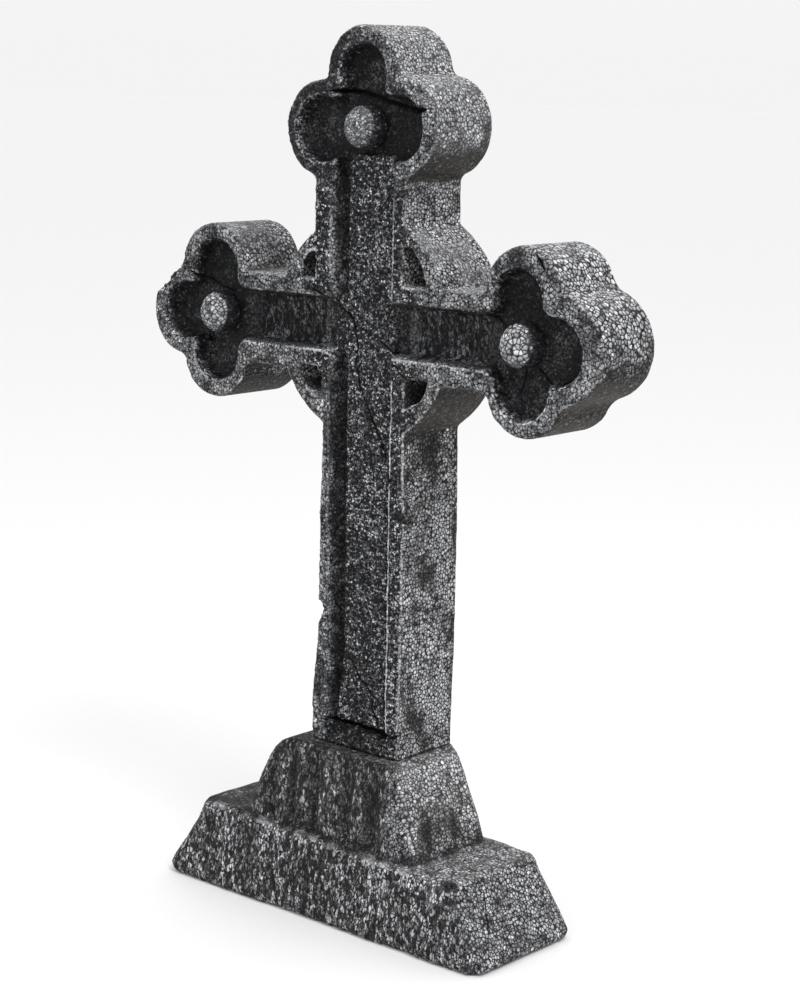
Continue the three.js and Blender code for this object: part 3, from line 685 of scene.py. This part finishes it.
# ---------------------------------------------------------------- build the cross
def build_cross():
    lo, hi = np.array([-302.0, -62.0, 170.0]), np.array([304.0, 50.0, 914.0])
    gx, gy, gz = (np.arange(a, b, STEP, dtype=np.float32) for a, b in zip(lo, hi))
    points, quads = polygonise(cross_field(gx, gy, gz), lo)
    x, y, z = from_cross(points[:, 0], points[:, 1], points[:, 2])
    ob = make_object("cross_surface", np.stack([x, y, z], 1), quads)
    m = cross_masks(coords(ob.data), normals(ob.data))
    amp, pit, big = cross_relief_masks(m)
    put(ob.data, "amp", amp)
    put(ob.data, "pit", pit)
    put(ob.data, "big", big)
    bead_relief(ob)
    lighten(ob)
    me = ob.data
    P, N = coords(me), normals(me)
    m = cross_masks(P, N)
    x, y, z, t, n = m["x"], m["y"], m["z"], m["t"], m["n"]
    amp, pit, big = cross_relief_masks(m)
    up, under = ramp(n[:, 2], 0.2, 0.8), ramp(-n[:, 2], 0.25, 0.7)
    right = ramp(n[:, 0], 0.3, 0.8)
    back = ramp(t, 82, 88)
    # pale paint, with painted light and shade laid into it: strong on sides and tops (tops also paler as painted light
    # from above), thinner on the face, faint in the hollows (partly painted shade)
    below = 1 - ramp(z, 548, 566)
    sky = ramp(n[:, 2], 0.55, 0.95)
    head = ramp(z, 735, 760)
    # paler on top-facing surfaces and, on the head, on right-facing sides: more paint there, and painted light from
    # above and the right
    drybrush_and_painted_light = 0.545 + 0.14 * up + 0.05 * right * head
    # darker diagonal bands on right-facing sides below the arms: painted shade
    waves = 0.5 + 0.5 * np.sin((z * 0.72 + y * 1.25) / 17.0 + 1.7 * noise(z / 90, y / 60, 0.0, 51))
    drybrush_and_painted_light = drybrush_and_painted_light - 0.12 * right * waves ** 3 * below
    # a paler band at about two thirds of the depth on the shaft's right side, darker near its back edge: painted
    # highlight and painted shade
    drybrush_and_painted_light = drybrush_and_painted_light + 0.07 * right * below * np.exp(-(((t - 64) / 15) ** 2)) - 0.06 * right * below * ramp(t, 76, 86)
    shadow = right * ramp(z, 450, 522) * (1 - 0.75 * ramp(t, 38, 74) * (1 - ramp(z, 515, 548))) * below * (np.abs(x) < 75)
    drybrush_and_painted_light = drybrush_and_painted_light - 0.26 * shadow
    # darker on undersides, and on sides at arm height and above as they turn downwards: painted shade
    drybrush_and_painted_light = drybrush_and_painted_light - 0.27 * under - 0.08 * ramp(-n[:, 2], -0.25, 0.45) * m["side"] * (z > 550)
    # a thin pale coat, strongest on top-facing surfaces and the head's right side, there partly painted light from
    # above and the right
    film_and_painted_light = 0.42 * sky + 0.24 * right * head + 0.02 * m["side"] + 0.05 * back
    brushed = m["side"] * (n[:, 2] > -0.2) * (x > 67) * (x < 135) * (z > 657) * (z < 745) * ramp(noise(x / 22, y / 20, z / 22, 62), -0.15, 0.35)
    film_and_painted_light = np.maximum(film_and_painted_light, 0.36 * brushed)
    film_and_painted_light = np.maximum(film_and_painted_light, 0.30 * m["side"] * (x < -140) * up)
    # no coat in the hollows; less under things and in the valleys between lobes, and the valleys' sides darker: painted
    # shade
    film_and_painted_light = film_and_painted_light * (1 - m["inside"]) * (1 - under) * (1 - 0.8 * m["valley"])
    drybrush_and_painted_light = drybrush_and_painted_light - 0.13 * m["valley"] * m["side"]
    front = m["front"]
    face = 0.465 + 0.08 * noise(x / 40, z / 40, 1.0, 52) - 0.24 * ramp(z, 740, 770) * (1 - ramp(x, -30, 20))
    left_strip = front * ramp(-x, 40, 46) * (1 - ramp(z, 530, 560)) * (x > -80)
    face = face - 0.02 * left_strip
    rims = front * np.maximum(ramp(np.abs(x), 70, 78), ramp(z, 742, 750))
    face = face + 0.055 * rims
    drybrush_and_painted_light = drybrush_and_painted_light * (1 - front) + face * front
    drybrush_and_painted_light = np.maximum(drybrush_and_painted_light, 0.66 * back)
    left_top = m["side"] * (x < -140) * up
    drybrush_and_painted_light = drybrush_and_painted_light - 0.14 * left_top + 0.20 * left_top * ramp(t, 52, 74) * (n[:, 0] > 0)
    film_and_painted_light = film_and_painted_light * (1 - front)
    arms = ramp(np.abs(x), 48, 58) * (1 - ramp(np.abs(x), 150, 165)) * (1 - ramp(np.abs(z - CROSS_Z), 27, 33))
    hollow_dry = 0.42 + 0.10 * noise(x / 26, z / 26, 2.0, 53) + 0.11 * arms
    shaft_wall = m["inside"] * (np.abs(x) < 60) * (z < 760) * (1 - m["on_band"])
    drybrush_and_painted_light = drybrush_and_painted_light * (1 - m["deep"]) + hollow_dry * m["deep"]
    drybrush_and_painted_light = drybrush_and_painted_light * (1 - m["on_band"]) + (0.47 + 0.06 * noise(x / 20, z / 50, 3.0, 54)) * m["on_band"]
    # the crease at the foot of the shaft panel, drawn darker and dimmer: painted shade
    sill = ramp(-m["inner"], -1, 1) * (1 - ramp(z, 200, 206)) * (np.abs(x) < 50) * (t < 40)
    near = [np.exp(-((np.hypot(x - bx, z - bz) / 30) ** 4)) for bx, bz in BOSSES]
    drybrush_and_painted_light = np.where(m["boss"] > 0.5, 0.22 + (0.50 * near[0] + 0.58 * near[1] + 0.46 * near[2]) * m["lit"], drybrush_and_painted_light)
    # pale paint dimmed in the hollows (less paint, and painted shade), on the bosses' unbrushed side, on undersides
    # (painted shade) and on the head's left front
    dimming_and_painted_shade = m["deep"] * (1 - m["on_band"]) * (1 - m["boss"])
    dimming_and_painted_shade = np.maximum(dimming_and_painted_shade * (1 - 0.30 * shaft_wall), 0.6 * sill)
    dimming_and_painted_shade = np.maximum(dimming_and_painted_shade, 0.7 * m["boss"] * (1 - m["lit"]))
    dimming_and_painted_shade = np.maximum(dimming_and_painted_shade, 0.30 * under * (1 - front))
    head_left = front * ramp(z, 740, 770) * (1 - ramp(x, -40, 0))
    dimming_and_painted_shade = np.maximum(dimming_and_painted_shade, 0.6 * head_left)
    # painted shade in the crease at the shaft's foot
    drybrush_and_painted_light = drybrush_and_painted_light - 0.24 * sill
    film_and_painted_light = np.maximum(film_and_painted_light, (0.24 * near[2] + 0.22 * near[0] + 0.25 * near[1]) * m["lit"] * m["boss"])
    cells = 0.95 * m["side"] * (1 - 0.18 * right * head)
    cells = np.maximum(cells, m["boss"] * (0.75 * near[0] + near[1] + 0.3 * near[2]))
    cells = np.maximum(cells, back * 0.8)
    cells = np.maximum(cells, 0.95 * left_strip)
    cells = np.maximum(cells, rims * (0.66 - 0.2 * head))
    cells = cells * (1 - m["deep"] * (1 - m["boss"]) * 0.9)
    cells = np.maximum(cells, 0.6 * shaft_wall)
    cells = np.maximum(cells, 0.5 * m["deep"] * (1 - m["on_band"]) * (1 - m["boss"]) * (1 - arms))
    cells = cells * (1 - 0.45 * left_top * (1 - ramp(t, 52, 74)))
    cells = cells * (1 - 0.5 * under) * (1 - sill) * (1 - 0.55 * brushed)
    # pale worn edges
    in_wear = np.clip(0.22 + 0.75 * noise(x / 17, z / 17, 4.0, 55), 0, 1)
    right_strip = (x > 30) * (z < 562) * (z > 205)
    in_wear = np.where(right_strip, 1.0, in_wear)
    ledge = (np.abs(z - ARM_PANEL[0]) < 6) * (np.abs(x) > 44) * (np.abs(x) < 165)
    in_wear = np.where(ledge, 0.8, in_wear)
    in_wear = np.where((x < -30) * (x > -45) * (z < 560), 0.15, in_wear)
    out_wear = np.clip(0.30 + 0.8 * noise(x / 15, z / 15, 6.0, 56), 0, 1)
    out_wear = np.where(right_strip, 0.6, out_wear)
    keep = (m["boss"] < 0.3) * ramp(np.abs(m["crack"]), 1.0, 2.0) * (t < 15)
    in_wear, out_wear = in_wear * keep * (z > 203), out_wear * keep
    # a brownish tone, a little on sides and tops, most on undersides, in the valleys between lobes and in the painted
    # shadow under the ring, where it goes with the painted shade
    brown = 0.85 * under * (1 - m["deep"]) + 0.15 * m["side"] + 0.10 * up + 0.45 * m["valley"] * m["side"]
    brown = np.maximum(brown, 0.40 * shadow)
    brown = brown * (1 - m["inside"] * (1 - m["on_band"]))
    # near-black on the hollows' walls, corners and floors and in the crease at the shaft's foot: painted shade; on the
    # bosses, the side the brush missed
    wall = m["inside"] * ramp(t, 3, 7) * (1 - ramp(t, 14, 20)) * ramp(m["inner"], -8, -4.5) * (1 - shaft_wall)
    corner = m["inside"] * ramp(t, 13, 21) * ramp(m["inner"], -9, -4)
    dark = np.clip(0.6 * wall + 0.6 * corner + 0.35 * m["deep"] * (1 - m["on_band"]), 0, 1)
    dark = np.maximum(dark * (1 - m["boss"]), 0.4 * m["boss"] * (1 - m["lit"]))
    dark = np.maximum(dark, 0.8 * sill)
    # the chipped lip on the head's right drawn paler: painted highlight where the chips catch the light
    lip = (m["hurt"] > 0.3) * head * (x > 0)
    dab = np.zeros_like(x)
    for dx, dz, rx, rz in DABS:
        r = np.hypot((x - dx) / rx, (z - dz) / rz) + 0.35 * noise(x / 5, z / 5, 9.0, 61)
        dab = np.maximum(dab, (1 - ramp(r, 0.7, 1.25)) * (t < 9 + 4 * head))
    drybrush_and_painted_light = np.where(m["hurt"] > 0.3, drybrush_and_painted_light - 0.05 + 0.17 * lip, drybrush_and_painted_light)
    cells = np.where(m["hurt"] > 0.3, 0.1 * cells + 0.7 * lip, cells)
    film_and_painted_light = np.where(lip > 0, 0.34, film_and_painted_light)
    drybrush_and_painted_light = drybrush_and_painted_light + 0.16 * lip
    film_and_painted_light = np.maximum(film_and_painted_light, (0.12 + 0.43 * head) * dab)
    drybrush_and_painted_light = drybrush_and_painted_light + 0.40 * dab
    cells = np.maximum(cells * (1 - 0.8 * dab), 0.8 * dab * head)
    put(me, "film_and_painted_light", np.clip(film_and_painted_light, 0, 1))
    put(me, "in_wear", in_wear)
    put(me, "out_wear", out_wear)
    put(me, "inner", np.clip(m["inner"], -12, 12))
    put(me, "outer", np.clip(m["outline"], -15, 15))
    put(me, "depth", np.clip(t - 1.3, 0, 15))
    put(me, "dimming_and_painted_shade", np.clip(dimming_and_painted_shade, 0, 1))
    put(me, "drybrush_and_painted_light", np.clip(drybrush_and_painted_light, 0, 1))
    put(me, "cells", np.clip(cells, 0, 1))
    put(me, "brown", np.clip(brown, 0, 1))
    put(me, "dark", np.clip(dark, 0, 1))
    put(me, "crack", m["crack"])
    put(me, "big", big)
    put(me, "streak", np.clip(arms * m["deep"] * (1 - m["boss"]) * (1 - m["on_band"]), 0, 1) * (1 - sill))
    for n_ in ("amp", "pit"):
        if me.attributes.get(n_):
            me.attributes.remove(me.attributes[n_])
    return ob


# ---------------------------------------------------------------- build the base
def build_base():
    lo, hi = np.array([-226.0, -86.0, -4.5]), np.array([226.0, 86.0, 184.0])
    gx, gy, gz = (np.arange(a, b, STEP, dtype=np.float32) for a, b in zip(lo, hi))
    points, quads = polygonise(base_field(gx, gy, gz), lo)
    ob = make_object("base_surface", points + np.array(BASE_SHIFT), quads)

    def relief(P, N):
        x, y, z, n = base_masks(P, N)
        front = ramp(-n[:, 1], 0.3, 0.8)
        flat = ramp(n[:, 2], 0.6, 0.9)
        amp = 0.32 + 0.25 * front - 0.15 * flat
        amp = np.where(n[:, 1] > 0.5, 0.2, amp)
        amp = amp * ramp(z, 0.8, 4)
        pit = 0.8 * front * (z < 92) + 0.6 * front * (z >= 92)
        pit = pit * ramp(z, 3, 8)
        return amp, pit

    amp, pit = relief(coords(ob.data), normals(ob.data))
    put(ob.data, "amp", amp)
    put(ob.data, "pit", pit)
    put(ob.data, "big", np.zeros_like(amp))
    bead_relief(ob)
    lighten(ob)
    me = ob.data
    P, N = coords(me), normals(me)
    x, y, z, n = base_masks(P, N)
    front, flat = ramp(-n[:, 1], 0.3, 0.75), ramp(n[:, 2], 0.62, 0.9)
    end = ramp(np.abs(n[:, 0]), 0.45, 0.75)
    low = 1 - ramp(z, 84, 92)
    step2 = ramp(z, 90, 98)
    drybrush_and_painted_light = 0.60 + 0 * x
    drybrush_and_painted_light = drybrush_and_painted_light * (1 - front) + (0.505 * (1 - step2) + 0.455 * step2) * front
    # tops paler towards the right end: painted light
    drybrush_and_painted_light = drybrush_and_painted_light * (1 - flat) + (0.47 + 0.10 * ramp(x, 60, 150)) * flat
    # darker in the flutes: painted shade in the grooves
    flute = sum(np.exp(-(((x - c) / (w * 1.1)) ** 2)) for c, w, d in FLUTES) * front * step2
    drybrush_and_painted_light = drybrush_and_painted_light - 0.17 * np.clip(flute, 0, 1) + 0.05 * front * noise(x / 16, 0.0, z / 60, 64)
    stains = (np.exp(-(((x + 97 + 2 * noise(0.0, 0.0, z / 14, 65)) / 4) ** 2)) + np.exp(-(((x + 16 + 2 * noise(0.0, 0.0, z / 14, 66)) / 4.5) ** 2))) * front * (1 - step2)
    drybrush_and_painted_light = drybrush_and_painted_light - 0.15 * stains
    # darker in the end scoops: painted shade in the hollows
    scoop = sum(d / 5.5 * np.exp(-(((y - cy) / ry) ** 2) - ((z - cz) / rz) ** 2) for cy, cz, ry, rz, d in SCOOPS) * end * step2
    drybrush_and_painted_light = drybrush_and_painted_light - 0.06 * end + 0.08 * end * ramp(z, 120, 165) - 0.20 * scoop
    # worn upper front edge and the corner patch
    edge = np.exp(-(((z - (LOWER_TOP - 6 - TOP_FALL * x)) / 6) ** 2)) * ramp(-y, 58, 68)
    drybrush_and_painted_light = drybrush_and_painted_light + 0.05 * edge + 0.10 * edge * ramp(x, 60, 150)
    upper_edge = np.exp(-((np.hypot(x - 97, y + 52) / 10) ** 2)) * step2
    drybrush_and_painted_light = drybrush_and_painted_light + 0.10 * upper_edge
    cells = np.clip(0.98 * end + 0.1 * (1 - front) + 0.10 * front * step2, 0, 1) * (1 - flat) + (0.35 + 0.5 * ramp(x, 60, 150)) * flat
    cells = np.maximum(cells, 0.85 * front * step2 * ramp(x, 72, 84))
    cells = np.where(n[:, 1] > 0.5, 0.8, cells)
    # pale paint dimmed on the lower top's left part, on the upper top left of the cross and in the scoops, which are
    # also browner: painted shade
    dimming_and_painted_shade = 0.55 * flat * (1 - ramp(x, 40, 120)) * (z < 150) + 0.7 * flat * (z > 150) * (1 - ramp(x, 30, 70)) + 0.35 * scoop
    brown = 0.30 * flat + 0.10 + 0.25 * end * step2 + 0.3 * scoop
    hurt = np.zeros_like(x)
    for k, b in enumerate(BASE_BITES):
        hurt = np.maximum(hurt, 1 - ramp(bite_field(x, y, z, b, 20 + k), 0.3, 2.4))
    # the crease where the upper step meets the lower one, darker: painted shade
    seam = np.exp(-(((z - 88) / 5) ** 2)) * (1 - ramp(np.maximum(np.abs(x) - 121, np.abs(y) - 61), 0, 5))
    # the thin coat on the tops grows towards the right end: painted light
    film_and_painted_light = (0.08 + 0.13 * step2) * end * (1 - scoop) + 0.02 * front + flat * (0.03 + 0.24 * ramp(x, 70, 140)) * (z < 150)
    patch = np.hypot((x - 153) / 6, (z - 66) / 12) + 0.4 * noise(x / 5, z / 7, 0.0, 63)
    patch = (1 - ramp(patch, 0.6, 1.2)) * front
    film_and_painted_light, drybrush_and_painted_light = np.maximum(film_and_painted_light, 0.15 * patch), drybrush_and_painted_light + 0.40 * patch
    # more coat on the upper top right of the cross: painted light
    film_and_painted_light = film_and_painted_light + 0.12 * end * ramp(z, 120, 165) + 0.15 * flat * (z > 150) * ramp(x, 40, 70)
    # near-black in the seam crease, the flutes and on the upper top left of the cross: painted shade
    dark = np.clip(0.6 * seam + 0.75 * np.clip(flute, 0, 1) + 0.4 * flat * (z > 150) * (x < 50), 0, 1)
    drybrush_and_painted_light = drybrush_and_painted_light - 0.15 * np.clip(seam, 0, 1)
    # the big bite at the right end darker and dimmer inside: painted shade in the pit
    pit = 1 - ramp(bite_field(x, y, z, BASE_BITES[0], 20), 0.6, 3.0)
    drybrush_and_painted_light = np.where(hurt > 0.3, drybrush_and_painted_light + 0.02, drybrush_and_painted_light) - 0.24 * pit
    dark = np.maximum(dark, 0.8 * pit)
    dimming_and_painted_shade = np.maximum(dimming_and_painted_shade, 0.35 * pit)
    film_and_painted_light = film_and_painted_light * (1 - 0.8 * pit)
    cells = np.where(hurt > 0.3, cells * 0.2, cells)
    crack = signed_line(y, z, [(-28, 62), (-36, 50), (-40, 38)]) / 0.8
    crack = np.where(x > 150, crack, 30)
    put(me, "drybrush_and_painted_light", np.clip(drybrush_and_painted_light, 0, 1))
    put(me, "cells", np.clip(cells, 0, 1))
    put(me, "brown", np.clip(brown, 0, 1))
    put(me, "dark", np.clip(dark, 0, 1))
    put(me, "crack", crack)
    corner = np.hypot(x - np.interp(z, [r[0] for r in UPPER], [r[2] for r in UPPER]) + 5, y + 55) + 100 * (1 - step2)
    top_edge = np.hypot(z - (LOWER_TOP - 4 - TOP_FALL * x), np.minimum(y + 72, 0)) + 100 * (y > -60)
    put(me, "film_and_painted_light", np.clip(film_and_painted_light, 0, 1))
    put(me, "in_wear", np.zeros_like(x))
    put(me, "inner", 12 + np.zeros_like(x))
    put(me, "outer", np.clip(np.minimum(corner, top_edge), 0, 15))
    at_corner = (corner < top_edge) * (corner < 12)
    put(me, "out_wear", np.clip(0.20 + 0.35 * at_corner + 0.8 * noise(x / 11, y / 15, z / 11, 57), 0.15 * at_corner, 0.75 + 0.15 * at_corner))
    put(me, "depth", np.zeros_like(x))
    put(me, "dimming_and_painted_shade", np.clip(dimming_and_painted_shade, 0, 1))
    put(me, "big", np.zeros_like(x))
    put(me, "streak", ramp(front, 0.2, 0.5))
    for n_ in ("amp", "pit"):
        if me.attributes.get(n_):
            me.attributes.remove(me.attributes[n_])
    return ob


foam = foam_material("painted_bead_foam")
for make, node in ((build_cross, "cross"), (build_base, "stepped_base")):
    piece = make()
    shade(piece, foam)
    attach(piece, "root")
    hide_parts(node)

# ---------------------------------------------------------------- floor, light, camera
floor_mesh = bpy.data.meshes.new("floor")
R = 40.0
ring = [(R * math.cos(a * math.pi / 32), R * math.sin(a * math.pi / 32), 0.0) for a in range(64)]
floor_mesh.from_pydata(ring, [], [list(range(64))])
floor = bpy.data.objects.new("floor", floor_mesh)
bpy.context.scene.collection.objects.link(floor)
floor_mat = bpy.data.materials.new("pale_floor")
floor_mat.use_nodes = True
p = floor_mat.node_tree.nodes["Principled BSDF"]
p.inputs["Base Color"].default_value = (0.818, 0.818, 0.818, 1)
p.inputs["Roughness"].default_value = 0.9
p.inputs["Specular IOR Level"].default_value = 0.1
floor_mesh.materials.append(floor_mat)

world = bpy.data.worlds.new("studio")
bpy.context.scene.world = world
world.use_nodes = True
g = Graph(world.node_tree)
world.node_tree.nodes.clear()
direction = g.node("ShaderNodeTexCoord").outputs["Generated"]
height = g.node("ShaderNodeSeparateXYZ", {"Vector": direction}).outputs["Z"]
strength = g.line(height, 0.0, 1.0, 0.90, 1.20)
background = g.node("ShaderNodeBackground", {"Color": (1.0, 1.0, 1.0, 1.0), "Strength": strength})
out = world.node_tree.nodes.new("ShaderNodeOutputWorld")
world.node_tree.links.new(background.outputs[0], out.inputs[0])


def area(name, place, target, size, power, colour=(1, 1, 1)):
    data = bpy.data.lights.new(name, "AREA")
    data.shape, data.size, data.energy, data.color = "DISK", size, power, colour
    ob = bpy.data.objects.new(name, data)
    bpy.context.scene.collection.objects.link(ob)
    back = np.array(place) - np.array(target)
    back = back / np.linalg.norm(back)
    side = np.cross((0, 0, 1), back)
    side = side / np.linalg.norm(side)
    top = np.cross(back, side)
    m = Matrix.Identity(4)
    for i, v in enumerate((side, top, back)):
        for j in range(3):
            m[j][i] = v[j]
    for j in range(3):
        m[j][3] = place[j]
    ob.matrix_world = m
    return ob


area("key", (1.9, -0.7, 2.9), (0, 0, 0.5), 1.3, 46)
area("fill", (-1.6, -2.6, 1.8), (0, 0, 0.5), 1.6, 5)

# The photograph's viewpoint: angles in degrees, focal length in pixels of an image 800 wide, place in mm.
AZ, EL, ROLL, FOCAL = 40.6326, 11.1124, 1.4589, 2272.405
EYE = (1484.942 + CROSS_SHIFT[0], -1708.677 + CROSS_SHIFT[1], 878.697)
a, e, r = (math.radians(v) for v in (AZ, EL, ROLL))
back = np.array([math.sin(a) * math.cos(e), -math.cos(a) * math.cos(e), math.sin(e)])
right = np.array([math.cos(a), math.sin(a), 0.0])
up = np.cross(back, right)
rr, uu = math.cos(r) * right + math.sin(r) * up, -math.sin(r) * right + math.cos(r) * up
cam = bpy.data.objects.new("camera", bpy.data.cameras.new("camera"))
bpy.context.scene.collection.objects.link(cam)
cam.data.sensor_fit = "HORIZONTAL"
cam.data.sensor_width = 36.0
cam.data.lens = 36.0 * FOCAL / 800
m = Matrix.Identity(4)
for i, v in enumerate((rr, uu, back)):
    for j in range(3):
        m[j][i] = v[j]
for j in range(3):
    m[j][3] = EYE[j] * MM
cam.matrix_world = m
bpy.context.scene.camera = cam
bpy.context.scene.view_settings.view_transform = "Standard"
